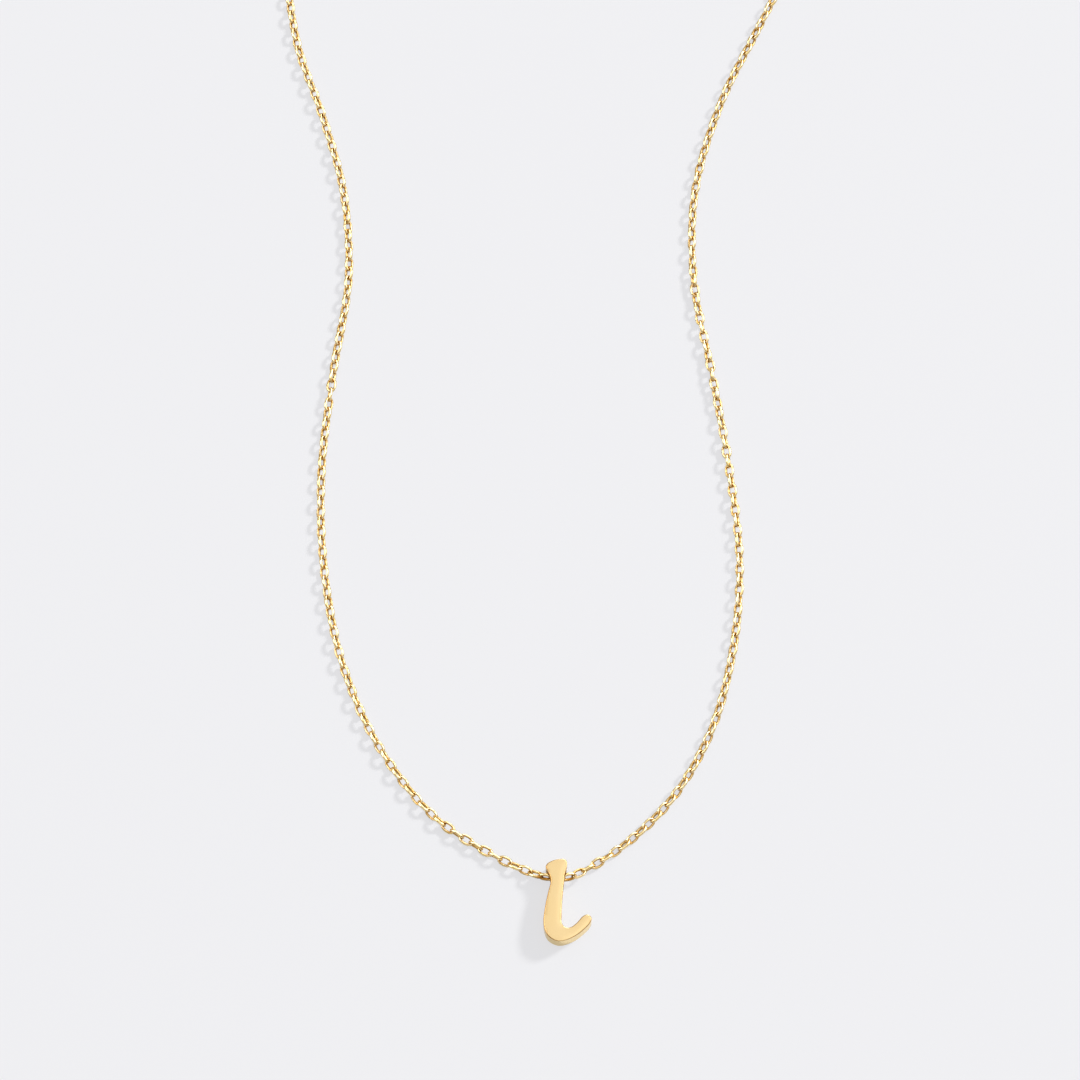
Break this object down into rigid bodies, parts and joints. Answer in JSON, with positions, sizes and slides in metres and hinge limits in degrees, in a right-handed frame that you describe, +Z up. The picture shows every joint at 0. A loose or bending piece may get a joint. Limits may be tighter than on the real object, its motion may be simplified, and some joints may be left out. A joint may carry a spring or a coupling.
{
  "type": "initial pendant necklace",
  "caption": "Polished gold letter i pendant, thick and flat, threaded through its neck on a fine cable chain that closes with a barrel clasp.",
  "frame": {"origin": "on the surface that the necklace lies on, under the middle of its bounding box", "axes": "+X to the right of the letter as it is read, +Y from the letter to the clasp, +Z up off the surface"},
  "size_m": [0.0682, 0.18, 0.0022],
  "materials": {
    "letter_gold": "gold plated, polished to a mirror, with slightly rounded edges",
    "chain_gold": "gold plated, bright, links flattened to small shining facets",
    "clasp_gold": "gold plated, polished"
  },
  "bodies": {
    "root": {"initial_letter": "letter_gold", "chain": "chain_gold", "clasp": "clasp_gold"}
  },
  "joints": []
}
